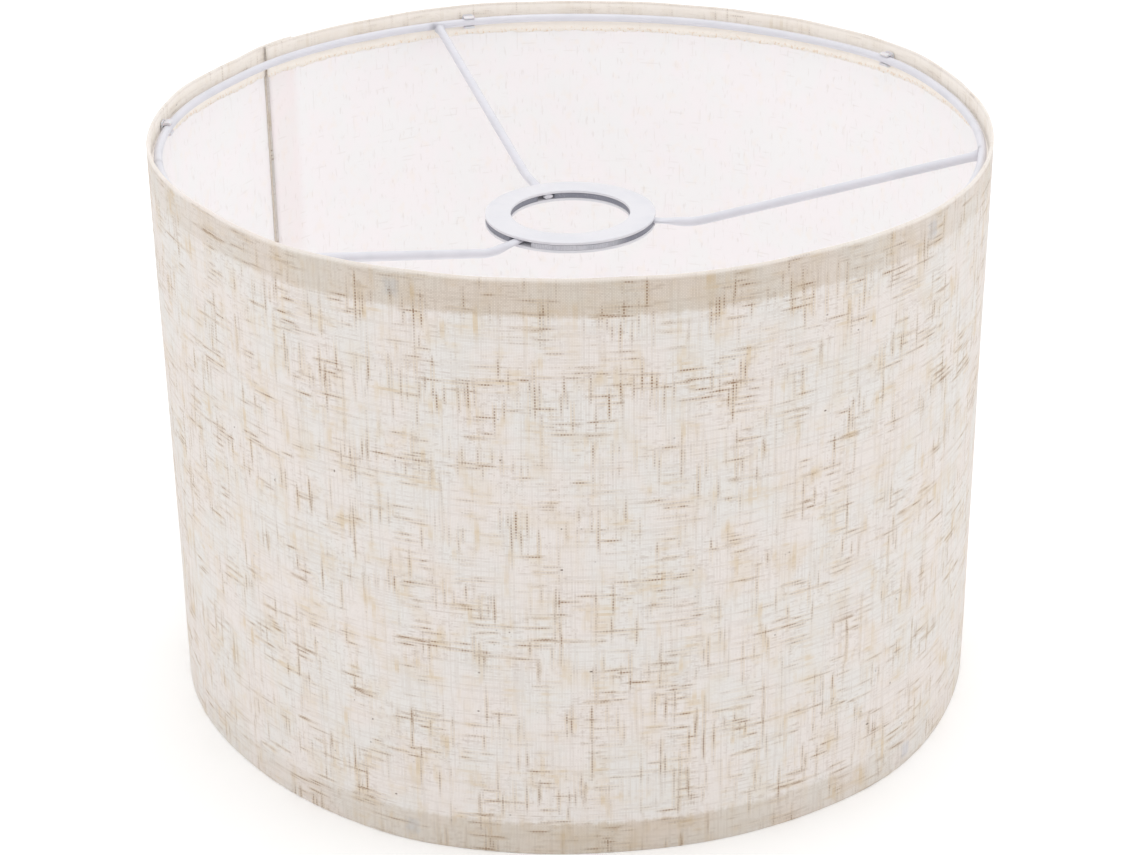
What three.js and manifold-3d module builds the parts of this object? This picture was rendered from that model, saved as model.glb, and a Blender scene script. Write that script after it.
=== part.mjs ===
// Drum lamp shade: a linen cover laminated on a liner, two wire rings held by plastic clips,
// and a three-armed spider with a ring fitter. Millimetres, +Z up, origin at the centre of the bottom rim.

import * as THREE from 'three';
import { mergeVertices } from 'three/addons/utils/BufferGeometryUtils.js';
import Module from 'manifold-3d';

// Drum
const drumDiameter = 290;
const drumHeight = 205;
const linenThickness = 0.4;
const linerThickness = 0.3;
const foldGap = 0.05; // between the liner and the linen folded round it
const hemDepth = 12; // linen turned in over each rim

// Overlap seam: the panel starts inside at seamAzimuth and runs clockwise, once round and on over itself
const seamAzimuth = 142.3;
const seamOverlap = 15;
const seamGap = 0.25; // between the two laps at the hems
const seamRamp = 8; // degrees over which the outer lap steps out
const tapeClearance = 0.05;

// Wire rings, inside each rim
const wireDiameter = 3;
const ringInset = 6; // rim to the wire's centre

// Ring clips
const clipAzimuths = [34.5, 106, 174.5, 248, 321]; // pressed on by hand, so not quite evenly spaced
const clipBaseThickness = 0.5;
const clipBaseWidth = 4.6;
const clipBaseHeight = 5.4;
const clipJawThickness = 0.9;
const clipJawWidth = 4.2;
const clipJawWrap = 125; // degrees each jaw reaches round the wire from the base
const clipFit = 0.15; // clip to wire
const clipSeat = 0.25; // clip to hem

// Spider arms
const armCount = 3;
const firstArmAzimuth = 111;
const armDiameter = 3.2;
const armEndThickness = 1.7; // pressed flat between the fitter's plates
const armEndWidth = 3.7;
const armEndReach = 2; // pressed flat for this far outside the plates
const armBendRadius = 43.5; // plan radius of the bend
const armBendLength = 8;
const armDrop = 1; // arm end below the ring's centre
const weldGap = 0.3; // arm end to ring
const armEndInset = 0.5; // arm end back from the fitter's hole

// Fitter: two plates on the arms, the lower one with raised lands between them
const fitterDiameter = 60;
const fitterHole = 42;
const fitterDrop = 34; // rim to the upper plate's top face
const topPlateThickness = 1;
const bottomPlateThickness = 1;
const armFit = 0.1; // arm to each plate
const landStart = 12; // degrees from an arm to the near end of the next land
const landClearance = 0.3; // a land's far end to the next arm's side
const landInset = 0.4; // land to the plate's edges

// Facets
const drumStep = 4.5; // degrees
const ringSides = 80;
const wireSides = 8;
const armSteps = 48;
const plateSegments = 30;

const wasm = await Module();
wasm.setup();

const radians = THREE.MathUtils.degToRad;

const linen = { color: 0xe3dbcd, roughness: 0.95, metalness: 0 };
const liner = { color: 0xece7e5, roughness: 0.6, metalness: 0 };
const tape = { color: 0xc9a877, roughness: 0.7, metalness: 0 };
const paintedSteel = { color: 0xe9ebf1, roughness: 0.4, metalness: 0.1 };
const clipPlastic = { color: 0xe4e6ec, roughness: 0.45, metalness: 0 };

function makeMesh(name, geometry, look) {
  const mesh = new THREE.Mesh(geometry, new THREE.MeshStandardMaterial(look));
  mesh.name = name;
  return mesh;
}

function toSolid(geometry) {
  const bare = geometry.clone();
  bare.deleteAttribute('normal');
  bare.deleteAttribute('uv');
  const merged = mergeVertices(bare, 1e-4);
  return new wasm.Manifold(new wasm.Mesh({
    numProp: 3,
    vertProperties: new Float32Array(merged.attributes.position.array),
    triVerts: new Uint32Array(merged.index.array),
  }));
}

function toGeometry(solid) {
  const mesh = solid.getMesh();
  const geometry = new THREE.BufferGeometry();
  geometry.setAttribute('position', new THREE.BufferAttribute(mesh.vertProperties, 3));
  geometry.setIndex(new THREE.BufferAttribute(mesh.triVerts, 1));
  geometry.computeVertexNormals();
  return geometry;
}

function extrude(shape, depth, curveSegments = 12) {
  return new THREE.ExtrudeGeometry(shape, { depth, curveSegments, bevelEnabled: false });
}

// Panel: radii from the outside in, and the turn that the outer lap ends at
const outerRadius = drumDiameter / 2;
const linerOuter = outerRadius - linenThickness - foldGap;
const linerInner = linerOuter - linerThickness;
const coverInner = linerInner - foldGap - linenThickness;
const lapStep = outerRadius - coverInner + seamGap;
const panelTurn = 360 + THREE.MathUtils.radToDeg(seamOverlap / outerRadius);

// Point of the panel at a turn clockwise from the inner free edge, stepped out where it laps itself
function panelPoint(radius, turn) {
  const rise = THREE.MathUtils.clamp((turn - 360 + seamRamp) / seamRamp, 0, 1);
  const angle = radians(seamAzimuth - turn);
  const r = radius + lapStep * rise;
  return new THREE.Vector2(r * Math.cos(angle), r * Math.sin(angle));
}

// Turns on whole drum steps of azimuth, with the band's ends, the free edges and the ramp's corners
function panelTurns(from, to) {
  const turns = [from, to, 0, 360 - seamRamp, 360, panelTurn];
  const firstStep = Math.ceil((seamAzimuth - to) / drumStep);
  const lastStep = Math.floor((seamAzimuth - from) / drumStep);
  for (let step = firstStep; step <= lastStep; step++) {
    turns.push(seamAzimuth - step * drumStep);
  }
  const kept = turns.filter((turn) => turn >= from && turn <= to).sort((a, b) => a - b);
  return kept.filter((turn, i) => i === 0 || turn - kept[i - 1] > 0.05);
}

function panelBand(inner, outer, low, high, from = 0, to = panelTurn) {
  const turns = panelTurns(from, to);
  const outside = turns.map((turn) => panelPoint(outer, turn));
  const inside = turns.map((turn) => panelPoint(inner, turn)).reverse();
  return extrude(new THREE.Shape([...outside, ...inside]), high - low).translate(0, 0, low);
}

// Linen: one strip, its wall outside and a return of hemDepth inside each rim, open between the returns
function fabricCover() {
  const pocketEnd = linenThickness;
  const past = 1; // degrees that the cuts run past the free edges
  const end = panelTurn + past;
  const outer = linerOuter + foldGap;
  const inner = linerInner - foldGap;
  const clear = coverInner - seamGap / 2;
  const wall = toSolid(panelBand(coverInner, outerRadius, 0, drumHeight));
  const pocket = toSolid(panelBand(inner, outer, pocketEnd, drumHeight - pocketEnd, -past, end));
  const window = toSolid(panelBand(clear, outer, hemDepth, drumHeight - hemDepth, -past, end));
  return makeMesh('fabric_cover', toGeometry(wall.subtract(pocket).subtract(window)), linen);
}

function linerPanel() {
  const rimGap = linenThickness + foldGap;
  return makeMesh('liner_panel', panelBand(linerInner, linerOuter, rimGap, drumHeight - rimGap), liner);
}

// Double-sided tape between the laps, from hem to hem
function seamTape() {
  const inner = outerRadius + tapeClearance - lapStep;
  const outer = linerInner - tapeClearance;
  const low = hemDepth + tapeClearance;
  const edge = THREE.MathUtils.radToDeg(tapeClearance / outerRadius) + 0.2;
  return makeMesh('seam_tape', panelBand(
    inner, outer, low, drumHeight - low, 360 + edge, panelTurn - edge,
  ), tape);
}

// Wire rings: inside the hems, with the clips' bases between
const wireRadius = wireDiameter / 2;
const clipOuter = coverInner - clipSeat;
const ringRadius = clipOuter - clipBaseThickness - clipFit - wireRadius;
const topRingHeight = drumHeight - ringInset;
const bottomRingHeight = ringInset;

function wireRing(name, height) {
  const geometry = new THREE.TorusGeometry(ringRadius, wireRadius, wireSides, ringSides);
  return makeMesh(name, geometry.translate(0, 0, height), paintedSteel);
}

// Clip: a flat base on the hem and two jaws round the wire, with the wire's centre at the origin
// and +X outward; the jaws open inward
function clipGeometry() {
  const baseInner = wireRadius + clipFit;
  const jawOuter = baseInner + clipJawThickness;
  const base = new THREE.BoxGeometry(clipBaseThickness, clipBaseWidth, clipBaseHeight);
  base.translate(baseInner + clipBaseThickness / 2, 0, 0);
  const jaws = new THREE.Shape();
  const wrap = radians(clipJawWrap);
  jaws.absarc(0, 0, jawOuter, -wrap, wrap, false);
  jaws.absarc(0, 0, baseInner, wrap, -wrap, true);
  jaws.closePath();
  const jawSolid = extrude(jaws, clipJawWidth, 9);
  jawSolid.translate(0, 0, -clipJawWidth / 2).rotateX(Math.PI / 2);
  const room = new THREE.BoxGeometry(jawOuter, clipBaseWidth, clipBaseHeight);
  room.translate(baseInner + clipBaseThickness + jawOuter / 2, 0, 0);
  return toGeometry(toSolid(base).add(toSolid(jawSolid)).subtract(toSolid(room)));
}

function ringClips(prefix, height) {
  const clips = new THREE.Group();
  clipAzimuths.forEach((azimuth, i) => {
    const spoke = new THREE.Group();
    spoke.rotation.z = radians(azimuth);
    const clip = makeMesh(`${prefix}_${i + 1}`, clipGeometry(), clipPlastic);
    clip.position.set(ringRadius, 0, height);
    spoke.add(clip);
    clips.add(spoke);
  });
  return clips;
}

// Fitter heights, from the upper plate's top face down
const topPlateLow = drumHeight - fitterDrop - topPlateThickness;
const armHeight = topPlateLow - armFit - armEndThickness / 2;
const bottomPlateHigh = armHeight - armEndThickness / 2 - armFit;
const bottomPlateLow = bottomPlateHigh - bottomPlateThickness;

function washer(outerDiameter, holeDiameter) {
  const shape = new THREE.Shape().absarc(0, 0, outerDiameter / 2, 0, 2 * Math.PI, false);
  shape.holes.push(new THREE.Path().absarc(0, 0, holeDiameter / 2, 0, 2 * Math.PI, true));
  return shape;
}

function fitterTopPlate() {
  const plate = extrude(washer(fitterDiameter, fitterHole), topPlateThickness, plateSegments);
  return makeMesh('fitter_top_plate', plate.translate(0, 0, topPlateLow), paintedSteel);
}

// Lower plate with a land between each pair of arms; each arm lies in the groove between two lands
function fitterBottomPlate() {
  const landHeight = topPlateLow - armFit - bottomPlateLow;
  const landInner = fitterHole / 2 + landInset;
  const landStop = Math.asin((armEndWidth / 2 + landClearance) / landInner);
  let solid = toSolid(extrude(washer(fitterDiameter, fitterHole), bottomPlateThickness, plateSegments));
  for (let i = 0; i < armCount; i++) {
    const arm = firstArmAzimuth + (360 / armCount) * i;
    const start = radians(arm + landStart);
    const stop = radians(arm + 360 / armCount) - landStop;
    const land = new THREE.Shape();
    land.absarc(0, 0, fitterDiameter / 2 - landInset, start, stop, false);
    land.absarc(0, 0, landInner, stop, start, true);
    land.closePath();
    solid = solid.add(toSolid(extrude(land, landHeight, plateSegments / 5)));
  }
  return makeMesh('fitter_bottom_plate', toGeometry(solid.translate([0, 0, bottomPlateLow])), paintedSteel);
}

// Arm's centre line: a straight slope down from the ring, a soft bend, and level in between the plates
function armPath() {
  const outerEnd = new THREE.Vector3(ringRadius - wireRadius - weldGap, 0, topRingHeight - armDrop);
  const corner = new THREE.Vector3(armBendRadius, 0, armHeight);
  const innerEnd = new THREE.Vector3(fitterHole / 2 + armEndInset, 0, armHeight);
  const slope = outerEnd.clone().sub(corner).normalize();
  const bendStart = corner.clone().addScaledVector(slope, armBendLength / 2);
  const bendEnd = new THREE.Vector3(armBendRadius - armBendLength / 2, 0, armHeight);
  const path = new THREE.CurvePath();
  path.add(new THREE.LineCurve3(outerEnd, bendStart));
  path.add(new THREE.QuadraticBezierCurve3(bendStart, corner, bendEnd));
  path.add(new THREE.LineCurve3(bendEnd, innerEnd));
  return path;
}

// Round rod along +X, pressed flat from the bend's end inward
function armGeometry() {
  const section = new THREE.Shape().absarc(0, 0, armDiameter / 2, 0, 2 * Math.PI, false);
  const curveSegments = wireSides / 2;
  const options = { steps: armSteps, curveSegments, bevelEnabled: false, extrudePath: armPath() };
  const geometry = new THREE.ExtrudeGeometry(section, options);
  const flatUntil = fitterDiameter / 2 + armEndReach;
  const roundFrom = armBendRadius - armBendLength / 2;
  const position = geometry.attributes.position;
  for (let i = 0; i < position.count; i++) {
    const share = THREE.MathUtils.smoothstep(position.getX(i), flatUntil, roundFrom);
    const width = THREE.MathUtils.lerp(armEndWidth / armDiameter, 1, share);
    const height = THREE.MathUtils.lerp(armEndThickness / armDiameter, 1, share);
    position.setY(i, position.getY(i) * width);
    position.setZ(i, armHeight + (position.getZ(i) - armHeight) * height);
  }
  geometry.computeVertexNormals();
  return geometry;
}

function spiderArms() {
  const arms = new THREE.Group();
  for (let i = 0; i < armCount; i++) {
    const arm = makeMesh(`spider_arm_${i + 1}`, armGeometry(), paintedSteel);
    arm.rotation.z = radians(firstArmAzimuth + (360 / armCount) * i);
    arms.add(arm);
  }
  return arms;
}

const lampShade = new THREE.Group();
lampShade.add(fabricCover(), linerPanel(), seamTape());
lampShade.add(wireRing('top_ring', topRingHeight), wireRing('bottom_ring', bottomRingHeight));
lampShade.add(ringClips('top_clip', topRingHeight), ringClips('bottom_clip', bottomRingHeight));
lampShade.add(spiderArms(), fitterTopPlate(), fitterBottomPlate());

export default lampShade;
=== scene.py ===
import math
from functools import partialmethod
import bpy
import numpy as np
from mathutils import Matrix, Vector


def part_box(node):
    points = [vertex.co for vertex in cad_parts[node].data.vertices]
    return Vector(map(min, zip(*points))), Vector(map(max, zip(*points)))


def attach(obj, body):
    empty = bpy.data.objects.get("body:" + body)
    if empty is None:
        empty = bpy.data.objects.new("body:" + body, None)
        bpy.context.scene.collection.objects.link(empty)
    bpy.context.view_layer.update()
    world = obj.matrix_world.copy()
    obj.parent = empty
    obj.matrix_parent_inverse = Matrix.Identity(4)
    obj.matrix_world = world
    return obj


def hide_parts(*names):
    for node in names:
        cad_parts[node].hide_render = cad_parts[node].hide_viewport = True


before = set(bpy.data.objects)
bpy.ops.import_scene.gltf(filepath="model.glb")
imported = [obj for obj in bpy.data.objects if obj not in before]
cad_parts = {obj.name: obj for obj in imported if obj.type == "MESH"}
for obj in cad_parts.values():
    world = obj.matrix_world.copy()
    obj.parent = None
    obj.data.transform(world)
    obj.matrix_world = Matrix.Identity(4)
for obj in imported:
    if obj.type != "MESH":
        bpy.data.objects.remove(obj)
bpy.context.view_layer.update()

MM = 0.001

# ---------------------------------------------------------------- sizes from the frame
cover_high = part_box("fabric_cover")[1]
HEIGHT = cover_high.z
OUTER = cover_high.x
ring_low, ring_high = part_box("top_ring")
WIRE = (ring_high.z - ring_low.z) / 2
RING_RADIUS = ring_high.x - WIRE
RING_INSET = HEIGHT - (ring_high.z + ring_low.z) / 2
plate_low, plate_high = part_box("fitter_top_plate")
base_low, base_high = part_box("fitter_bottom_plate")
FITTER_RADIUS = plate_high.x

# ---------------------------------------------------------------- the panel's layers and seam
LINEN = 0.4 * MM
LINER = 0.3 * MM
LAYER_GAP = 0.05 * MM
LINER_SHORT = 0.3  # degrees by which the liner stops short of the linen's two ends
HEM = 12 * MM
FRAY = 0.35 * MM  # how uneven the returns' cut edges are
STACK = 2 * LINEN + LINER + 2 * LAYER_GAP
FRONT = 270  # azimuths run anticlockwise from +X
SEAM_AZIMUTH = 142.3  # the inner free edge, where the panel starts; it runs clockwise
SEAM_OVERLAP = 15 * MM
SEAM_STEP = STACK + 0.25 * MM  # how far the outer lap stands outside the inner one
SEAM_RAMP = 8.0  # degrees over which it moves out
PANEL_TURN = 360 + math.degrees(SEAM_OVERLAP / OUTER)
TAPE_OUT, TAPE_SHORT = 0.1, 0.4  # degrees: past the inner free edge, and short of the outer one
TAPE_FIT = 0.08 * MM

# ---------------------------------------------------------------- frame parts
ARM_AZIMUTHS = [111 + 120 * i for i in range(3)]
ARM_RADIUS = 1.6 * MM
ARM_END_THICKNESS, ARM_END_WIDTH = 1.7 * MM, 3.7 * MM  # pressed flat between the plates
ARM_END_REACH = 2 * MM  # how far outside the plates the pressed end goes on
ARM_BEND_RADIUS = 43.5 * MM  # from the drum's axis to the bend's corner
ARM_BEND_LENGTH = 8 * MM
ARM_DROP = 1 * MM  # from the ring's middle down to the arm's
ARM_FIT = 0.1 * MM
ARM_END_INSET = 0.2 * MM
ARM_TIP = 0.86  # of its size, at the very end
ARM_WELD_REACH = 0.6  # of the wire's radius: where an arm starts, inward of the ring's centre line
WELD_FLARE, WELD_LENGTH = 0.32, 1.6 * MM
ARM_HEIGHT = plate_low.z - ARM_FIT - ARM_END_THICKNESS / 2
HOLE_RADIUS = 21 * MM
BOTTOM_PLATE = 1 * MM  # the lower plate's thickness below its lands
PLATE_EDGE, LAND_EDGE = 0.25 * MM, 0.15 * MM
LAND_START, LAND_INSET = 12, 0.15 * MM  # degrees past an arm; in from the plates' edges
LAND_CLEARANCE, LAND_INNER = 0.3 * MM, HOLE_RADIUS + 0.4 * MM  # beside an arm's end; at this radius
LAND_STOP = math.degrees(math.asin((ARM_END_WIDTH / 2 + LAND_CLEARANCE) / LAND_INNER))
CLIP_AZIMUTHS = [34.5, 106, 174.5, 248, 321]
CLIP_FIT = 0.15 * MM
CLIP_BASE = (0.5 * MM, 4.6 * MM, 5.4 * MM)  # thickness, width, height
CLIP_JAW = (0.9 * MM, 4.2 * MM)  # thickness, width
CLIP_WRAP = 125  # degrees that the jaw goes round the wire, each way
CLIP_CORNER, CLIP_BEVEL = 1.2 * MM, 0.12 * MM
WELD_MARK_AZIMUTH = 190  # where each ring's wire is joined to itself
LIT_EDGE_AZIMUTH = FRONT  # painted reflection: the lands' sheared edge is painted bright here and shaded elsewhere
LIT_EDGE_REACH = 22  # degrees each way before the painted shade starts
TUBE_SIDES = 20

# Where the drum is out of round: azimuth, outward mm, half width in degrees
TOP_BULGES = ((34, 3.0, 14), (322, 1.6, 18), (214, -2.2, 16), (153, -1.3, 9), (84, -0.9, 12))
BOTTOM_BULGES = ((216, -1.2, 16), (247, 0.9, 8), (276, -0.9, 12), (318, 1.7, 14))

# ---------------------------------------------------------------- stage and camera
DRUM_MIDDLE = (0, 0, 0.1)
SKY_STRENGTH, FLOOR_GLOW, FLOOR_HALF = 1.02, 0.05, 6.0
CAMERA_PITCH, CAMERA_ROLL, CAMERA_LENS = 25.726, -0.671, 81.64  # degrees, degrees, mm
CAMERA_PLACE = (-0.0010, -0.8511, HEIGHT + 0.2918)


def apart(azimuth, centre):
    """Degrees from centre to azimuth, the short way round."""
    return (azimuth - centre + 180) % 360 - 180


def hill(distance, width):
    """1 at no distance, falling off smoothly on either side."""
    return np.exp(-((distance / width) ** 2))


def bulge(azimuth, share):
    """Outward offset at an azimuth in degrees, at a share of the height."""
    total = np.zeros_like(np.asarray(azimuth, float))
    for bulges, weight in ((TOP_BULGES, share), (BOTTOM_BULGES, 1 - np.asarray(share))):
        for centre, size, width in bulges:
            total = total + weight * size * MM * hill(apart(azimuth, centre), width)
    return total


def smooth(x):
    x = np.clip(x, 0, 1)
    return x * x * (3 - 2 * x)


# ---------------------------------------------------------------- mesh helpers
def add_mesh(name, points, faces, material, smooth_shade=True):
    mesh = bpy.data.meshes.new(name)
    mesh.from_pydata([tuple(p) for p in points], [], [tuple(f) for f in faces])
    mesh.validate()
    mesh.materials.append(material)
    if smooth_shade:
        mesh.polygons.foreach_set("use_smooth", [True] * len(mesh.polygons))
    mesh.update()
    piece = bpy.data.objects.new(name, mesh)
    bpy.context.scene.collection.objects.link(piece)
    return piece


def set_attribute(piece, name, values):
    layer = piece.data.attributes.new(name, "FLOAT", "POINT")
    layer.data.foreach_set("value", np.asarray(values, np.float32))


def grid_faces(rows, columns, close_rows=False, close_columns=False, flip=False):
    """Quads of a rows by columns grid of points, closed round either way."""
    faces = []
    for i in range(rows if close_rows else rows - 1):
        for j in range(columns if close_columns else columns - 1):
            a, b = i * columns + j, i * columns + (j + 1) % columns
            c = ((i + 1) % rows) * columns + (j + 1) % columns
            d = ((i + 1) % rows) * columns + j
            faces.append((a, d, c, b) if flip else (a, b, c, d))
    return faces


def place(piece, slot, *nodes):
    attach(piece, "root")
    if nodes:
        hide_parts(*nodes)


# ---------------------------------------------------------------- node helpers
class Shader:
    """Short names for the nodes that a procedural material is made of."""

    def __init__(self, name):
        self.material = bpy.data.materials.new(name)
        self.material.use_nodes = True
        self.tree = self.material.node_tree
        self.surface = self.tree.nodes["Principled BSDF"]

    def put(self, socket, value):
        if isinstance(value, bpy.types.NodeSocket):
            self.tree.links.new(value, socket)
        elif value is not None:
            socket.default_value = value

    def node(self, kind, **settings):
        node = self.tree.nodes.new(kind)
        for key, value in settings.items():
            setattr(node, key, value)
        return node

    def calc(self, operation, a, b=None, c=None, clamp=False):
        node = self.node("ShaderNodeMath", operation=operation, use_clamp=clamp)
        for socket, value in zip(node.inputs, (a, b, c)):
            self.put(socket, value)
        return node.outputs[0]

    add = partialmethod(calc, "ADD")
    sub = partialmethod(calc, "SUBTRACT")
    mul = partialmethod(calc, "MULTIPLY")
    mul_add = partialmethod(calc, "MULTIPLY_ADD")
    div = partialmethod(calc, "DIVIDE")
    maximum = partialmethod(calc, "MAXIMUM")
    minimum = partialmethod(calc, "MINIMUM")

    def attribute(self, name):
        return self.node("ShaderNodeAttribute", attribute_name=name).outputs["Fac"]

    def vector(self, x, y, z=0.0):
        node = self.node("ShaderNodeCombineXYZ")
        for socket, value in zip(node.inputs, (x, y, z)):
            self.put(socket, value)
        return node.outputs[0]

    def noise(self, vector, scale=1.0, detail=2.0, roughness=0.5):
        node = self.node("ShaderNodeTexNoise")
        self.put(node.inputs["Vector"], vector)
        node.inputs["Scale"].default_value = scale
        node.inputs["Detail"].default_value = detail
        node.inputs["Roughness"].default_value = roughness
        return node.outputs["Fac"]

    def span(self, value, low, high, to_low=0.0, to_high=1.0):
        node = self.node("ShaderNodeMapRange", interpolation_type="SMOOTHSTEP")
        for socket, item in zip(node.inputs, (value, low, high, to_low, to_high)):
            self.put(socket, item)
        return node.outputs[0]

    def mix(self, share, a, b, blend="MIX"):
        node = self.node("ShaderNodeMix", data_type="RGBA", blend_type=blend)
        self.put(node.inputs[0], share)
        self.put(node.inputs[6], a)
        self.put(node.inputs[7], b)
        return node.outputs[2]

    def bump(self, height, distance, strength=1.0):
        node = self.node("ShaderNodeBump")
        node.inputs["Strength"].default_value = strength
        node.inputs["Distance"].default_value = distance
        self.put(node.inputs["Height"], height)
        self.tree.links.new(node.outputs[0], self.surface.inputs["Normal"])

    def set(self, **values):
        for name, value in values.items():
            self.put(self.surface.inputs[name.replace("_", " ")], value)


def srgb(r, g, b):
    """Linear colour of an 8-bit sRGB one."""
    def linear(c):
        c = c / 255
        return c / 12.92 if c <= 0.04045 else ((c + 0.055) / 1.055) ** 2.4
    return (linear(r), linear(g), linear(b), 1.0)


# ---------------------------------------------------------------- materials
PINK_LINEN, COOL_LINEN = (231, 224, 220), (228, 225, 222)
# The pit colour below is painted shade between the threads.
GREY_THREAD, PIT_SHADE = (196, 185, 177), (166, 154, 142)
BEIGE_FLAX, BROWN_FLAX, KNOT = (211, 193, 166), (144, 115, 90), (80, 60, 46)
# The first two below are painted shade on the hems and the clips' painted shadows through them.
HEM_SHADE_TINT, CLIP_SHADOW_TINT, WARM_END = (239, 233, 224), (226, 235, 250), (232, 204, 170)
# The first below is painted light on the returns; the other two are painted highlights.
RETURN_BACKLIGHT_TINT, RETURN_LIGHT, RIM_LIGHT = (250, 240, 228), (255, 249, 240), (246, 240, 235)
LINER_PINK, LINER_COOL = (246, 242, 243), (244, 243, 243)
LINER_WARM, LINER_SLUB, LAP_TINT = (245, 237, 229), (216, 209, 204), (251, 244, 243)
WIRE_PAINT, PLATE_PAINT = ((216, 215, 222), (210, 210, 217)), ((219, 218, 223), (214, 214, 220))
SCORCH = (120, 116, 126)
# The third below is painted shade on the sheared edge, away from the front.
EDGE_GREY, EDGE_PALE, EDGE_SHADE = (188, 189, 197), (204, 204, 210), (128, 130, 141)
EDGE_SCORE, EDGE_GRAIN = (136, 137, 146), (214, 214, 220)
CLIP_PALE, CLIP_GREY = (220, 218, 221), (213, 212, 217)
TAPE_TAN, TAPE_PALE = (222, 211, 196), (234, 225, 213)

THREAD = 0.5  # mm between threads
PANEL_LOW = HEM / MM  # profile length where the outer wall starts
WALL = HEIGHT / MM


# The panel's materials read two attributes in mm: "arc", clockwise round the drum from the inner
# free edge, and "rise", up the linen's profile from the bottom return's edge.
def weave(s, arc, rise):
    """Threads of a plain weave: their places and numbers, their roundness, and which is on top."""
    wander = s.noise(s.vector(s.mul(arc, 0.05), s.mul(rise, 0.05)), 1.0, 2.0)
    u = s.mul_add(wander, 1.2, s.div(arc, THREAD))
    v = s.mul_add(wander, -1.2, s.div(rise, THREAD))
    warp, weft = s.calc("FLOOR", u), s.calc("FLOOR", v)
    across = s.calc("COSINE", s.mul(s.sub(s.calc("FRACT", u), 0.5), math.pi))
    along = s.calc("COSINE", s.mul(s.sub(s.calc("FRACT", v), 0.5), math.pi))
    over = s.calc("FLOORED_MODULO", s.add(warp, weft), 2.0)
    return u, v, warp, weft, across, along, over


def streaks(s, thread, run, run_length, low, high, offset):
    """Soft dashes along single threads: noise that is long along each thread and unrelated to the
    next thread's. Run length is in mm, the dashes fade in from low to high, and another offset
    gives another pattern."""
    key = s.mul_add(thread, 7.31, offset)
    return s.span(s.noise(s.vector(key, s.div(run, run_length)), 1.0, 1.0, 0.4), low, high)


def slubs(s, thread, run, length, core_length, offset):
    """Brown lengths of single threads, uneven along their run, and the threads beside them."""
    body = streaks(s, thread, run, length, 0.60, 0.70, offset)
    core = streaks(s, thread, run, core_length, 0.36, 0.66, offset + 18.0)
    body = s.mul(body, s.mul_add(core, 0.75, 0.25))
    before = streaks(s, s.sub(thread, 1.0), run, length, 0.60, 0.72, offset)
    after = streaks(s, s.add(thread, 1.0), run, length, 0.60, 0.72, offset)
    return body, s.maximum(before, after)


def clip_shadow_patches(s, arc, edge):
    """Painted shadow of each clip's base on a hem, seen through the cloth: a soft rectangle at
    each.
    """
    nearest = None
    for azimuth in CLIP_AZIMUTHS:
        centre = math.radians((SEAM_AZIMUTH - azimuth) % 360) * OUTER / MM
        away = s.calc("ABSOLUTE", s.sub(arc, centre))
        nearest = away if nearest is None else s.minimum(nearest, away)
    half_width, half_height = CLIP_BASE[1] / 2 / MM, CLIP_BASE[2] / 2 / MM
    above = s.calc("ABSOLUTE", s.sub(edge, RING_INSET / MM))
    soft = s.mul_add(s.noise(s.vector(arc, edge, 2.0), 0.6, 3.0), 3.0, -1.5)
    wide = s.span(s.add(nearest, soft), half_width - 1.2, half_width + 1.2, 1.0, 0.0)
    tall = s.span(s.add(above, soft), half_height - 1.2, half_height + 1.2, 1.0, 0.0)
    return s.mul(wide, tall)


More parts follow.
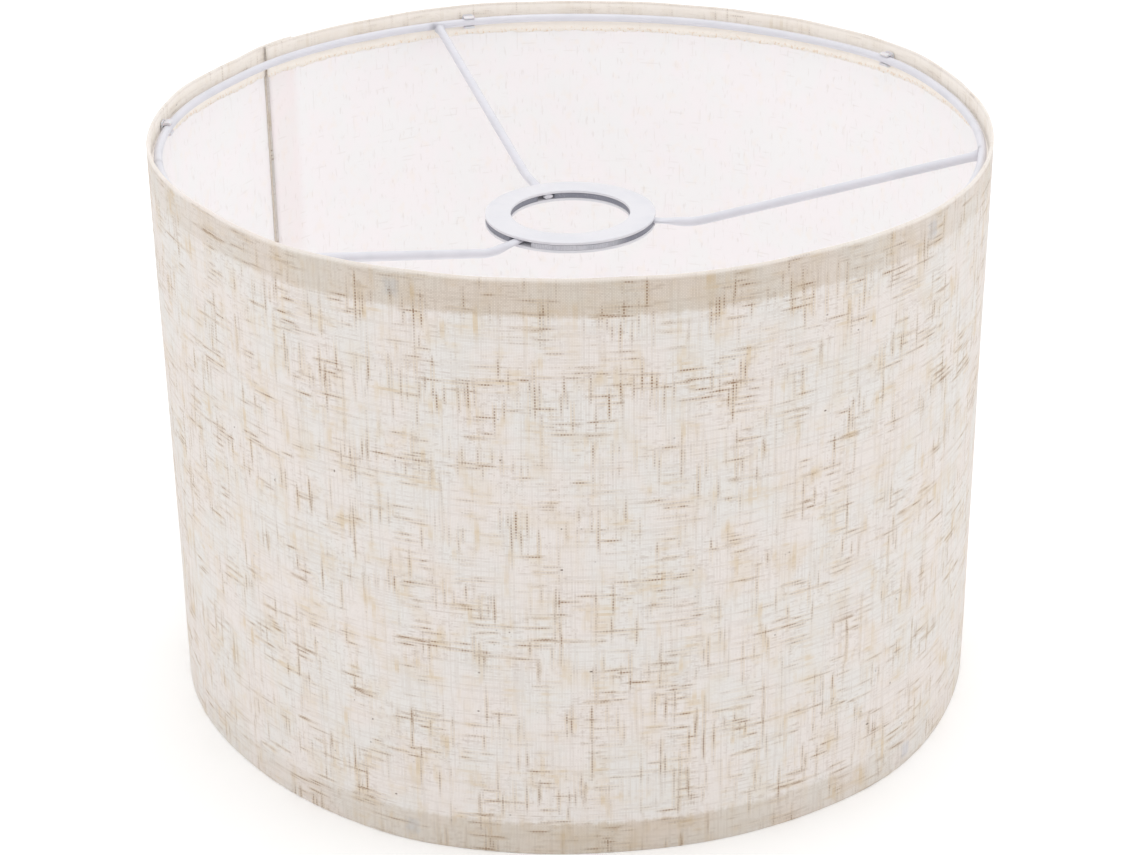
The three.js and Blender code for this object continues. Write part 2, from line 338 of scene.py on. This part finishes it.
def linen_material():
    s = Shader("natural_linen")
    arc, rise = s.attribute("arc"), s.attribute("rise")
    u, v, warp, weft, across, along, over = weave(s, arc, rise)
    under = s.sub(1.0, over)

    # cool and pinkish clouds, thread-by-thread tone, and painted shade in the pits between threads
    cloud = s.noise(s.vector(s.div(arc, 20.0), s.div(rise, 26.0), 4.0), 1.0, 3.0)
    base = s.mix(s.span(cloud, 0.40, 0.60), srgb(*PINK_LINEN), srgb(*COOL_LINEN))
    grey_up = streaks(s, warp, rise, 32.0, 0.53, 0.64, 5.0)
    grey_round = streaks(s, weft, arc, 30.0, 0.53, 0.64, 63.0)
    base = s.mix(s.mul(s.maximum(grey_up, grey_round), 0.22), base, srgb(*GREY_THREAD))
    pit_shade = s.sub(1.0, s.mul(across, along))
    base = s.mix(s.mul(pit_shade, 0.22), base, srgb(*PIT_SHADE))

    # painted light: the returns inside are made lighter and warmer, where light comes through the
    # cloth
    turned = s.minimum(rise, s.sub(WALL + 2 * PANEL_LOW, rise))
    base = s.mix(s.span(turned, PANEL_LOW - 1.0, PANEL_LOW, 0.6, 0.0), base, srgb(*RETURN_BACKLIGHT_TINT))

    # beige blocks where the flax is unbleached, a few threads wide and long one way or the other
    blocks_up = streaks(s, s.calc("FLOOR", s.div(u, 3.0)), rise, 15.0, 0.52, 0.74, 3.0)
    blocks_round = streaks(s, s.calc("FLOOR", s.div(v, 2.0)), arc, 14.0, 0.54, 0.74, 40.0)
    blotch = s.noise(s.vector(s.div(arc, 9.0), s.div(rise, 12.0)), 1.0, 3.0)
    blotch = s.span(blotch, 0.45, 0.70)
    block = s.maximum(blocks_up, s.mul(blocks_round, 0.8))
    block = s.mul(block, s.mul_add(blotch, 0.7, 0.12))
    block = s.mul_add(blotch, 0.3, block, clamp=True)
    base = s.mix(s.mul(block, 0.8), base, srgb(*BEIGE_FLAX))

    # slubs: a brown length of one thread, which shows as a row of dots up the cloth and as a line
    # round it, with beige in the threads beside it; in some places they lie closer together
    crowd = s.noise(s.vector(s.div(arc, 17.0), s.div(rise, 21.0), 27.0), 1.0, 2.0)
    crowd = s.span(crowd, 0.38, 0.60, 0.30, 1.0)
    up, halo_up = slubs(s, warp, rise, 24.0, 6.0, 11.0)
    round_, halo_round = slubs(s, weft, arc, 21.0, 5.0, 71.0)
    halo = s.mul(s.maximum(halo_up, halo_round), crowd)
    base = s.mix(s.mul(halo, 0.42), base, srgb(*BEIGE_FLAX))
    dots = s.mul(up, s.mul_add(over, 0.65, 0.35))
    lines = s.mul(round_, s.mul_add(under, 0.5, 0.5))
    slub = s.mul(s.maximum(dots, lines), crowd)
    base = s.mix(slub, base, srgb(*BROWN_FLAX))

    # fine broken hairs of flax everywhere, faint
    hair_up = streaks(s, warp, rise, 3.0, 0.55, 0.70, 45.0)
    hair_round = streaks(s, weft, arc, 3.4, 0.55, 0.70, 97.0)
    hair_up = s.mul(hair_up, s.mul_add(over, 0.8, 0.2))
    hair = s.mul(s.maximum(hair_up, hair_round), s.mul(crowd, 0.2))
    base = s.mix(hair, base, srgb(*BROWN_FLAX))

    # short knots
    knot_up = streaks(s, warp, rise, 2.2, 0.78, 0.85, 23.0)
    knot_round = streaks(s, weft, arc, 3.0, 0.78, 0.85, 57.0)
    knot = s.maximum(knot_up, knot_round)
    base = s.mix(s.mul(knot, 0.85), base, srgb(*KNOT))

    # hems: painted shade where two layers of linen let less light through, darker and beiger,
    # strongest facing front and back and weakest at the sides; a clip's base shows bluish through
    # them as a painted shadow
    wall = s.sub(rise, PANEL_LOW)
    edge = s.minimum(wall, s.sub(WALL, wall))
    fray = s.noise(s.vector(s.mul(arc, 0.35), s.mul(rise, 0.2), 5.0), 1.0, 5.0, 0.75)
    hem_shade = s.span(s.mul_add(fray, 5.0, edge), 13.6, 15.6, 1.0, 0.0)
    hem_shade = s.mul(hem_shade, s.span(edge, -1.4, -0.6))
    from_front = s.mul_add(arc, MM / OUTER, math.radians(FRONT - SEAM_AZIMUTH))
    upper = s.span(wall, WALL / 2, WALL / 2 + 1.0)
    square = s.calc("POWER", s.calc("COSINE", from_front), 2.0)
    low_share = s.mul_add(s.mul(square, square), 0.92, 0.08)
    high_share = s.mul_add(square, 0.75, 0.25)
    hem_shade = s.mul(hem_shade, s.span(upper, 0.0, 1.0, low_share, high_share))
    base = s.mix(hem_shade, base, srgb(*HEM_SHADE_TINT), "MULTIPLY")
    # painted shade, deeper in the hems' pits
    base = s.mix(s.mul(s.mul(hem_shade, s.mul(pit_shade, over)), 0.35), base, srgb(*PIT_SHADE))
    # painted shadow of each clip's base, seen through the hem
    base = s.mix(s.mul(clip_shadow_patches(s, arc, edge), 0.5), base, srgb(*CLIP_SHADOW_TINT), "MULTIPLY")

    # the rim's turn and the returns catch the light, most of all below the ring
    rim = s.mul(s.span(edge, -3.2, -1.0), s.span(edge, 0.2, 1.6, 1.0, 0.0))
    rim = s.mul(rim, upper)
    base = s.mix(s.mul(rim, 0.5), base, srgb(*RIM_LIGHT))
    below_ring = s.span(turned, 4.0, 6.5, 0.9, 0.5)
    lit = s.mul(below_ring, s.span(turned, PANEL_LOW - 1.6, PANEL_LOW - 0.6, 1.0, 0.0))
    base = s.mix(lit, base, srgb(*RETURN_LIGHT))

    # warm loose ends along the returns' edges
    ends = s.noise(s.vector(s.mul(arc, 0.9), s.mul(rise, 0.8), 8.0), 1.0, 2.0)
    ends = s.mul(s.span(ends, 0.52, 0.64), s.span(turned, 0.4, 2.2, 1.0, 0.0))
    base = s.mix(s.mul(ends, 0.6), base, srgb(*WARM_END))

    height = s.mul(s.mul(across, along), 0.5)
    height = s.mul_add(slub, 0.5, height)
    height = s.mul_add(knot, 0.5, height)
    height = s.mul_add(over, 0.12, height)
    s.bump(height, 0.00012, 0.8)
    s.set(Base_Color=base, Roughness=s.span(slub, 0.0, 1.0, 0.92, 0.8))
    s.set(Sheen_Weight=0.12, Sheen_Roughness=0.6, Specular_IOR_Level=0.2)
    return s.material


def liner_material():
    s = Shader("laminated_liner")
    arc, rise = s.attribute("arc"), s.attribute("rise")
    warp, weft, across, along = weave(s, arc, rise)[2:6]
    # soft cool and pink clouds, the linen's slubs as faint smudges through the sheet, and the lap
    # a little pinker
    cloud = s.noise(s.vector(s.div(arc, 16.0), s.div(rise, 22.0)), 1.0, 3.0)
    base = s.mix(s.span(cloud, 0.38, 0.62), srgb(*LINER_PINK), srgb(*LINER_COOL))
    blotch = s.noise(s.vector(s.div(arc, 5.0), s.div(rise, 7.0), 3.0), 1.0, 3.0)
    base = s.mix(s.mul(s.span(blotch, 0.54, 0.72), 0.35), base, srgb(*LINER_WARM))
    smudge = s.noise(s.vector(s.div(arc, 1.3), s.div(rise, 5.0), 7.0), 1.0, 2.0)
    base = s.mix(s.mul(s.span(smudge, 0.60, 0.74), 0.3), base, srgb(*LINER_SLUB))
    up = streaks(s, warp, rise, 14.0, 0.66, 0.76, 11.0)
    round_ = streaks(s, weft, arc, 10.0, 0.66, 0.76, 71.0)
    base = s.mix(s.mul(s.maximum(up, round_), 0.2), base, srgb(*LINER_SLUB))
    lap = s.span(arc, SEAM_OVERLAP / MM - 3.0, SEAM_OVERLAP / MM + 2.0, 1.0, 0.0)
    base = s.mix(s.mul(lap, 0.6), base, srgb(*LAP_TINT), "MULTIPLY")
    height = s.mul_add(s.mul(across, along), 0.3, s.mul(cloud, 0.6))
    s.bump(height, 0.00006, 0.5)
    s.set(Base_Color=base, Roughness=s.span(cloud, 0.3, 0.7, 0.42, 0.55))
    s.set(Specular_IOR_Level=0.4)
    return s.material


def paint_material(name, light, dull_and_shade):
    s = Shader(name)
    place_in = s.node("ShaderNodeTexCoord").outputs["Object"]
    peel = s.noise(place_in, 1400.0, 2.0)
    wear = s.noise(place_in, 90.0, 4.0)
    base = s.mix(s.span(wear, 0.4, 0.75), srgb(*light), srgb(*dull_and_shade))
    base = s.mix(s.mul(s.attribute("scorch"), 0.7), base, srgb(*SCORCH))
    s.bump(peel, 0.00004, 0.4)
    s.set(Base_Color=base, Roughness=s.span(wear, 0.3, 0.7, 0.3, 0.42))
    s.set(Coat_Weight=0.15, Coat_Roughness=0.3)
    return s.material


def sheared_material():
    s = Shader("sheared_steel_edge")
    place_in = s.node("ShaderNodeTexCoord").outputs["Object"]
    separate = s.node("ShaderNodeSeparateXYZ")
    s.put(separate.inputs[0], place_in)
    x, y, z = separate.outputs
    scores = s.noise(s.vector(s.mul(x, 2600.0), s.mul(y, 2600.0), s.mul(z, 400.0)))
    grain = s.noise(place_in, 3200.0, 3.0)
    patches = s.noise(place_in, 70.0, 2.0)
    base = s.mix(s.span(patches, 0.35, 0.65), srgb(*EDGE_GREY), srgb(*EDGE_PALE))
    # painted shade: the sheared edge is darkened away from the front, standing in for its darker
    # reflections there
    base = s.mix(s.attribute("dull_and_shade"), base, srgb(*EDGE_SHADE))
    base = s.mix(s.span(scores, 0.3, 0.7, 0.3, 0.0), base, srgb(*EDGE_SCORE))
    base = s.mix(s.mul(s.span(grain, 0.58, 0.72), 0.5), base, srgb(*EDGE_GRAIN))
    s.bump(scores, 0.00005, 0.5)
    s.set(Base_Color=base, Roughness=s.span(grain, 0.3, 0.7, 0.45, 0.6), Metallic=0.2)
    return s.material


def clip_material():
    s = Shader("clip_plastic")
    place_in = s.node("ShaderNodeTexCoord").outputs["Object"]
    cloud = s.noise(place_in, 300.0, 3.0)
    base = s.mix(s.span(cloud, 0.3, 0.7), srgb(*CLIP_PALE), srgb(*CLIP_GREY))
    s.bump(s.noise(place_in, 2600.0, 2.0), 0.00003, 0.5)
    s.set(Base_Color=base, Roughness=s.span(cloud, 0.3, 0.7, 0.38, 0.5))
    s.set(Subsurface_Weight=0.1, Subsurface_Scale=0.002)
    return s.material


def tape_material():
    s = Shader("tan_tape")
    arc, rise = s.attribute("arc"), s.attribute("rise")
    mottle = s.noise(s.vector(s.mul(arc, 1.2), s.mul(rise, 0.35)), 1.0, 4.0, 0.7)
    base = s.mix(s.span(mottle, 0.35, 0.65), srgb(*TAPE_TAN), srgb(*TAPE_PALE))
    s.bump(mottle, 0.0001, 0.6)
    s.set(Base_Color=base, Roughness=s.span(mottle, 0.3, 0.7, 0.6, 0.8))
    return s.material


# ---------------------------------------------------------------- panel
def panel_turns(start, stop, step=1.0):
    count = max(2, int(round((stop - start) / step)) + 1)
    return np.linspace(start, stop, count)


def panel_sheet(name, profile, thickness, turns, material, fray=0.0):
    """A sheet swept clockwise round the panel's path. The profile is its middle line as (depth,
    height, rise), depth being inward from the linen's outer face. Its first and last edges are
    ragged by fray."""
    depth, height, rise = (np.array(column) for column in zip(*profile))
    tangent = np.stack([np.gradient(-depth), np.gradient(height)], 1)
    tangent /= np.linalg.norm(tangent, axis=1)[:, None]
    normal = np.stack([tangent[:, 1], -tangent[:, 0]], 1) * thickness / 2
    loop_out = np.concatenate([-depth + normal[:, 0], (-depth - normal[:, 0])[::-1]])
    loop_up = np.concatenate([height + normal[:, 1], (height - normal[:, 1])[::-1]])
    loop_rise = np.concatenate([rise, rise[::-1]])
    azimuth = SEAM_AZIMUTH - turns
    step = SEAM_STEP * smooth((turns - 360 + SEAM_RAMP) / SEAM_RAMP)
    share = np.clip(loop_up / HEIGHT, 0, 1)[None, :]
    radius = OUTER + loop_out[None, :] + step[:, None] + bulge(azimuth[:, None], share)
    ripple = ripples(turns[:, None], loop_up[None, :])
    radius = radius + ripple * smooth(np.minimum(share, 1 - share) * 8)
    lift = rim_lift(azimuth)[:, None] * smooth((share - 0.5) * 2)
    ragged = np.random.default_rng(5).uniform(-fray, fray, (len(turns), 2))
    columns = len(loop_out)
    for edge, column in enumerate((0, len(profile) - 1)):
        lift[:, [column, columns - 1 - column]] += ragged[:, edge, None]
    angle = np.radians(azimuth)[:, None]
    points = np.stack([radius * np.cos(angle), radius * np.sin(angle), loop_up[None, :] + lift], 2)
    points = points.reshape(-1, 3)
    faces = grid_faces(len(turns), columns, close_columns=True)
    half = columns // 2
    last = (len(turns) - 1) * columns
    for i in range(half - 1):
        faces.append((i, columns - 1 - i, columns - 2 - i, i + 1))
        faces.append((last + i + 1, last + columns - 2 - i, last + columns - 1 - i, last + i))
    piece = add_mesh(name, points, faces, material)
    arc = np.repeat(np.radians(turns) * OUTER / MM, columns)
    set_attribute(piece, "arc", arc)
    set_attribute(piece, "rise", np.tile(loop_rise / MM, len(turns)))
    return piece


def ripples(turns, height):
    """Slight unevenness of the laminated cloth: a few long waves that don't repeat."""
    a, h = np.radians(turns), height / HEIGHT
    waves = (0.10 * np.sin(5 * a + 4.1 * h + 0.6) + 0.08 * np.sin(9 * a - 6.3 * h + 2.0)
             + 0.05 * np.sin(17 * a + 9.0 * h + 4.0) + 0.04 * np.sin(31 * a - 15 * h + 1.0))
    return waves * MM


def rim_lift(azimuth):
    """The hand-folded rim is not quite level."""
    a = np.radians(azimuth)
    return (0.16 * np.sin(7 * a + 1.0) + 0.12 * np.sin(13 * a + 2.2) + 0.07 * np.sin(29 * a)) * MM


def cover_profile():
    """Middle line of the linen: down from the bottom return's edge, round the bottom rim, up the
    wall, over the top rim and down the top return."""
    fold = (STACK - LINEN) / 2
    inner, outer = STACK - LINEN / 2, LINEN / 2
    middle = (inner + outer) / 2
    points = []
    for height in np.linspace(HEM, fold + LINEN / 2, 5):
        points.append((inner, height))
    for turn in np.linspace(0, math.pi, 7)[1:-1]:
        points.append((middle + fold * math.cos(turn), fold + LINEN / 2 - fold * math.sin(turn)))
    top = HEIGHT - fold - LINEN / 2
    for height in np.linspace(fold + LINEN / 2, top, 40):
        points.append((outer, height))
    for turn in np.linspace(math.pi, 0, 7)[1:-1]:
        points.append((middle + fold * math.cos(turn), top + fold * math.sin(turn)))
    for height in np.linspace(top, HEIGHT - HEM, 5):
        points.append((inner, height))
    profile, rise = [], 0.0
    for i, point in enumerate(points):
        if i:
            rise += math.dist(point, points[i - 1])
        profile.append((*point, rise))
    return profile


def make_linen(material):
    profile = cover_profile()
    turns = panel_turns(0, PANEL_TURN, 0.5)
    piece = panel_sheet("linen_cover", profile, LINEN, turns, material, fray=FRAY)
    place(piece, "linen", "fabric_cover")


def make_liner(material):
    depth = LINEN + LAYER_GAP + LINER / 2
    rim = LINEN + LAYER_GAP
    heights = np.linspace(rim, HEIGHT - rim, 42)
    profile = [(depth, height, height + HEM) for height in heights]
    turns = panel_turns(LINER_SHORT, PANEL_TURN - LINER_SHORT)
    piece = panel_sheet("liner_sheet", profile, LINER, turns, material)
    place(piece, "liner", "liner_panel")


def make_tape(material):
    """Tape between the laps, which fills the room between the hems. Its edge shows beside the
    inner free edge."""
    room = SEAM_STEP - LINEN - LAYER_GAP - LINER
    depth = SEAM_STEP - room / 2
    heights = np.linspace(HEM, HEIGHT - HEM, 40)
    profile = [(depth, height, height + HEM) for height in heights]
    turns = panel_turns(360 - TAPE_OUT, PANEL_TURN - TAPE_SHORT, 0.4)
    piece = panel_sheet("seam_tape_strip", profile, room - TAPE_FIT, turns, material)
    place(piece, "tape", "seam_tape")


# ---------------------------------------------------------------- wire frame
def sweep_tube(name, centres, radii, sides, material, closed=False):
    """A tube on a line of centres, with its own radius, or its own half width and half height, at
    each. It is closed round, or has flat ends."""
    radii = np.array(radii)
    wide, tall = (radii, radii) if radii.ndim == 1 else radii.T
    centres = np.array(centres)
    if closed:
        tangents = np.roll(centres, -1, 0) - np.roll(centres, 1, 0)
    else:
        tangents = np.gradient(centres, axis=0)
    tangents /= np.linalg.norm(tangents, axis=1)[:, None]
    side = np.cross(tangents, (0, 0, 1))
    side /= np.linalg.norm(side, axis=1)[:, None]
    up = np.cross(side, tangents)
    turn = np.linspace(0, 2 * math.pi, sides, endpoint=False)
    rings = (centres[:, None] + wide[:, None, None] * np.cos(turn)[None, :, None] * side[:, None]
             + tall[:, None, None] * np.sin(turn)[None, :, None] * up[:, None])
    faces = grid_faces(len(centres), sides, close_rows=closed, close_columns=True, flip=True)
    if not closed:
        faces.append(tuple(range(sides)))
        faces.append(tuple(len(centres) * sides - 1 - i for i in range(sides)))
    return add_mesh(name, rings.reshape(-1, 3), faces, material)


def ring_radius(azimuth, share):
    return RING_RADIUS + bulge(azimuth, share)


def make_ring(name, height, material, node):
    azimuth = np.arange(0, 360, 1.0)
    share = height / HEIGHT
    radius = ring_radius(azimuth, share)
    angle = np.radians(azimuth)
    level = np.full(len(angle), height)
    centres = np.stack([radius * np.cos(angle), radius * np.sin(angle), level], 1)
    from_join = apart(azimuth, WELD_MARK_AZIMUTH)
    swell = 1 + 0.10 * hill(from_join, 0.9) - 0.05 * hill(from_join, 0.4)
    piece = sweep_tube(name, centres, WIRE * swell, TUBE_SIDES, material, closed=True)
    scorch = np.repeat(0.35 * hill(from_join, 0.5), TUBE_SIDES)
    facing_in = np.clip(-np.cos(np.linspace(0, 2 * math.pi, TUBE_SIDES, endpoint=False)), 0, 1)
    inward = np.tile(facing_in, len(azimuth))
    # the scorched spot beside each arm's weld
    for arm in ARM_AZIMUTHS if share > 0.5 else ():
        burnt = np.repeat(0.9 * hill(apart(azimuth, arm + 1.0), 0.5), TUBE_SIDES)
        scorch = np.maximum(scorch, burnt * inward)
    set_attribute(piece, "scorch", scorch)
    place(piece, "painted_steel", node)


def arm_line(azimuth):
    """Centre line from the ring's inner side, down the slope, round the bend and in between the
    plates, as (distance from the axis, height)."""
    outer = float(ring_radius(azimuth, 1 - RING_INSET / HEIGHT)) - WIRE * ARM_WELD_REACH
    start = Vector((outer, HEIGHT - RING_INSET - ARM_DROP))
    corner = Vector((ARM_BEND_RADIUS, ARM_HEIGHT))
    end = Vector((HOLE_RADIUS + ARM_END_INSET, ARM_HEIGHT))
    slope = (start - corner).normalized()
    bend_in = corner + slope * ARM_BEND_LENGTH / 2
    bend_out = corner - Vector((ARM_BEND_LENGTH / 2, 0))
    down = (0, 0.008, 0.016, 0.024, 0.035, 0.1, 0.3, 0.5, 0.7, 0.9)
    line = [start.lerp(bend_in, t) for t in down]
    for t in np.linspace(0, 1, 13):
        line.append(bend_in.lerp(corner, t).lerp(corner.lerp(bend_out, t), t))
    line += [bend_out.lerp(end, t) for t in (0.08, 0.16, 0.24, 0.32, 0.4, 0.6, 0.9, 0.975)]
    line.append(end)
    return line


def make_arm(index, azimuth, material):
    line = arm_line(azimuth)
    angle = math.radians(azimuth)
    centres = [(p.x * math.cos(angle), p.x * math.sin(angle), p.y) for p in line]
    radii = np.full(len(line), ARM_RADIUS)
    from_ring = np.array([(p - line[0]).length for p in line])
    radii = radii * (1 + WELD_FLARE * hill(from_ring, WELD_LENGTH))
    out = np.array([p.x for p in line])
    flat_until, round_from = FITTER_RADIUS + ARM_END_REACH, ARM_BEND_RADIUS - ARM_BEND_LENGTH / 2
    pressed = 1 - smooth((out - flat_until) / (round_from - flat_until))
    wide = radii + (ARM_END_WIDTH / 2 - radii) * pressed
    tall = radii + (ARM_END_THICKNESS / 2 - radii) * pressed
    wide[-1] *= ARM_TIP
    tall[-1] *= ARM_TIP
    piece = sweep_tube(f"arm_rod_{index}", centres, np.stack([wide, tall], 1), TUBE_SIDES, material)
    set_attribute(piece, "scorch", np.repeat(0.25 * hill(from_ring, 1.2 * MM), TUBE_SIDES))
    place(piece, "painted_steel", f"spider_arm_{index}")


# ---------------------------------------------------------------- fitter
def ring_profile(inner, outer, low, high, edge):
    """A washer's section with its four corners rounded."""
    corners = ((outer, high, 0), (inner, high, 90), (inner, low, 180), (outer, low, 270))
    section = []
    for x, y, begin in corners:
        cx = x - edge if begin in (0, 270) else x + edge
        cy = y - edge if begin in (0, 90) else y + edge
        for turn in np.radians(np.linspace(begin, begin + 90, 5)):
            section.append((cx + edge * math.cos(turn), cy + edge * math.sin(turn)))
    return section


def make_washer(name, low, high, material, node):
    section = ring_profile(HOLE_RADIUS, FITTER_RADIUS, low, high, PLATE_EDGE)
    turns = np.radians(np.arange(0, 360, 2.5))
    points = [(x * math.cos(t), x * math.sin(t), y) for t in turns for x, y in section]
    faces = grid_faces(len(turns), len(section), close_rows=True, close_columns=True, flip=True)
    piece = add_mesh(name, points, faces, material)
    set_attribute(piece, "scorch", np.zeros(len(points)))
    place(piece, "painted_steel", node)


def make_land(index, azimuth, low, high, material):
    """A raised land of the lower plate, between two arms, with its sheared steel edge showing."""
    inner, outer = HOLE_RADIUS + LAND_INSET, FITTER_RADIUS - LAND_INSET
    section = ring_profile(inner, outer, low, high, LAND_EDGE)
    azimuths = np.linspace(azimuth + LAND_START, azimuth + 120 - LAND_STOP, 60)
    turns = np.radians(azimuths)
    points = [(x * math.cos(t), x * math.sin(t), y) for t in turns for x, y in section]
    count = len(section)
    faces = grid_faces(len(turns), count, close_columns=True, flip=True)
    faces.append(tuple(range(count)))
    faces.append(tuple(len(points) - 1 - i for i in range(count)))
    piece = add_mesh(f"fitter_land_{index}", points, faces, material)
    # painted shade: the edge is kept bright near the front and darkened towards the sides
    from_lit = np.abs(apart(azimuths, LIT_EDGE_AZIMUTH))
    dull_and_shade = smooth((from_lit - LIT_EDGE_REACH) / LIT_EDGE_REACH)
    set_attribute(piece, "dull_and_shade", np.repeat(dull_and_shade, count))
    place(piece, "painted_steel")


# ---------------------------------------------------------------- clips
def make_clip(name, azimuth, height, material, node):
    """A snap clip: a rounded base plate on the hem and a C-shaped jaw round the wire, open
    inward."""
    inner = WIRE + CLIP_FIT
    jaw, width = CLIP_JAW
    thick, base_width, base_height = CLIP_BASE
    points, faces = [], []

    def add_prism(outline, low, high, axis):
        """Outline points as (across, up) swept along the third axis."""
        first = len(points)
        for level in (low, high):
            for a, b in outline:
                points.append((a, level, b) if axis == "y" else (level, a, b))
        count = len(outline)
        for i in range(count):
            j = (i + 1) % count
            faces.append((first + i, first + j, first + count + j, first + count + i))
        faces.append(tuple(first + count - 1 - i for i in range(count)))
        faces.append(tuple(first + count + i for i in range(count)))

    wrap = np.radians(np.linspace(-CLIP_WRAP, CLIP_WRAP, 25))
    outline = [((inner + jaw) * math.cos(t), (inner + jaw) * math.sin(t)) for t in wrap]
    outline += [(inner * math.cos(t), inner * math.sin(t)) for t in wrap[::-1]]
    outline = [(min(x, inner + thick), z) for x, z in outline]
    add_prism(outline, -width / 2, width / 2, "y")
    corner = CLIP_CORNER
    plate = []
    for sx, sz, begin in ((1, 1, 0), (-1, 1, 90), (-1, -1, 180), (1, -1, 270)):
        cx, cz = sx * (base_width / 2 - corner), sz * (base_height / 2 - corner)
        for t in np.radians(np.linspace(begin, begin + 90, 6)):
            plate.append((cx + corner * math.cos(t), cz + corner * math.sin(t)))
    add_prism(plate, inner, inner + thick, "x")
    share = height / HEIGHT
    radius = float(ring_radius(azimuth, share))
    spin = Matrix.Rotation(math.radians(azimuth), 4, "Z") @ Matrix.Translation((radius, 0, height))
    piece = add_mesh(name, [spin @ Vector(p) for p in points], faces, material, smooth_shade=False)
    bevel = piece.modifiers.new("edges", "BEVEL")
    bevel.width = CLIP_BEVEL
    bevel.segments = 2
    bevel.limit_method = "ANGLE"
    place(piece, "clip_plastic", node)


# ---------------------------------------------------------------- stage
def make_floor():
    s = Shader("pale_floor")
    s.set(Base_Color=(0.99, 0.99, 0.99, 1), Roughness=0.85, Specular_IOR_Level=0.1)
    s.set(Emission_Color=(1, 1, 1, 1), Emission_Strength=FLOOR_GLOW)
    half = FLOOR_HALF
    corners = [(-half, -half, 0), (half, -half, 0), (half, half, 0), (-half, half, 0)]
    floor = add_mesh("floor", corners, [(0, 1, 2, 3)], s.material, smooth_shade=False)


def add_area(name, position, target, size, power):
    light = bpy.data.lights.new(name, "AREA")
    light.shape = "DISK"
    light.size = size
    light.energy = power
    lamp = bpy.data.objects.new(name, light)
    lamp.visible_camera = False
    lamp.location = position
    direction = Vector(target) - Vector(position)
    lamp.rotation_euler = direction.to_track_quat("-Z", "Y").to_euler()
    bpy.context.scene.collection.objects.link(lamp)


def make_lights():
    world = bpy.data.worlds.new("studio")
    world.use_nodes = True
    background = world.node_tree.nodes["Background"]
    background.inputs["Color"].default_value = (1.0, 1.0, 1.0, 1.0)
    background.inputs["Strength"].default_value = SKY_STRENGTH
    bpy.context.scene.world = world
    add_area("left", (-1.3, -0.3, 0.8), DRUM_MIDDLE, 0.9, 1.5)
    add_area("right", (1.3, -0.2, 0.8), DRUM_MIDDLE, 0.9, 1.5)
    add_area("top", (0.1, 0.3, 1.6), DRUM_MIDDLE, 0.7, 3.2)
    add_area("under", (0, 0, 0.004), (0, 0, 1), 0.24, 0.08)
    bpy.context.scene.view_settings.view_transform = "Standard"


def make_camera():
    """Above and in front of the drum, looking down at it."""
    pitch, roll = math.radians(CAMERA_PITCH), math.radians(CAMERA_ROLL)
    forward = Vector((0, math.cos(pitch), -math.sin(pitch)))
    right = Vector((1, 0, 0))
    up = right.cross(forward)
    right, up = (right * math.cos(roll) + up * math.sin(roll),
                 up * math.cos(roll) - right * math.sin(roll))
    data = bpy.data.cameras.new("camera")
    data.sensor_width = 36
    data.lens = CAMERA_LENS
    camera = bpy.data.objects.new("camera", data)
    axes = Matrix((right, up, -forward)).transposed().to_4x4()
    camera.matrix_world = Matrix.Translation(CAMERA_PLACE) @ axes
    bpy.context.scene.collection.objects.link(camera)
    bpy.context.scene.camera = camera


# ---------------------------------------------------------------- build
make_camera()
linen = linen_material()
wire_paint = paint_material("enamelled_wire", *WIRE_PAINT)
plate_paint = paint_material("powder_coated_plate", *PLATE_PAINT)
clip_plastic = clip_material()
make_linen(linen)
make_liner(liner_material())
make_tape(tape_material())
make_ring("top_wire_ring", HEIGHT - RING_INSET, wire_paint, "top_ring")
make_ring("bottom_wire_ring", RING_INSET, wire_paint, "bottom_ring")
for number, arm_azimuth in enumerate(ARM_AZIMUTHS, 1):
    make_arm(number, arm_azimuth, wire_paint)
make_washer("fitter_upper_washer", plate_low.z, plate_high.z, plate_paint, "fitter_top_plate")
land_low = base_low.z + BOTTOM_PLATE
make_washer("fitter_lower_washer", base_low.z, land_low, plate_paint, "fitter_bottom_plate")
sheared = sheared_material()
for number, arm_azimuth in enumerate(ARM_AZIMUTHS, 1):
    make_land(number, arm_azimuth, land_low, base_high.z, sheared)
for end, ring_height in (("top", HEIGHT - RING_INSET), ("bottom", RING_INSET)):
    for number, clip_azimuth in enumerate(CLIP_AZIMUTHS, 1):
        make_clip(f"{end}_snap_clip_{number}", clip_azimuth, ring_height, clip_plastic,
                  f"{end}_clip_{number}")
make_floor()
make_lights()
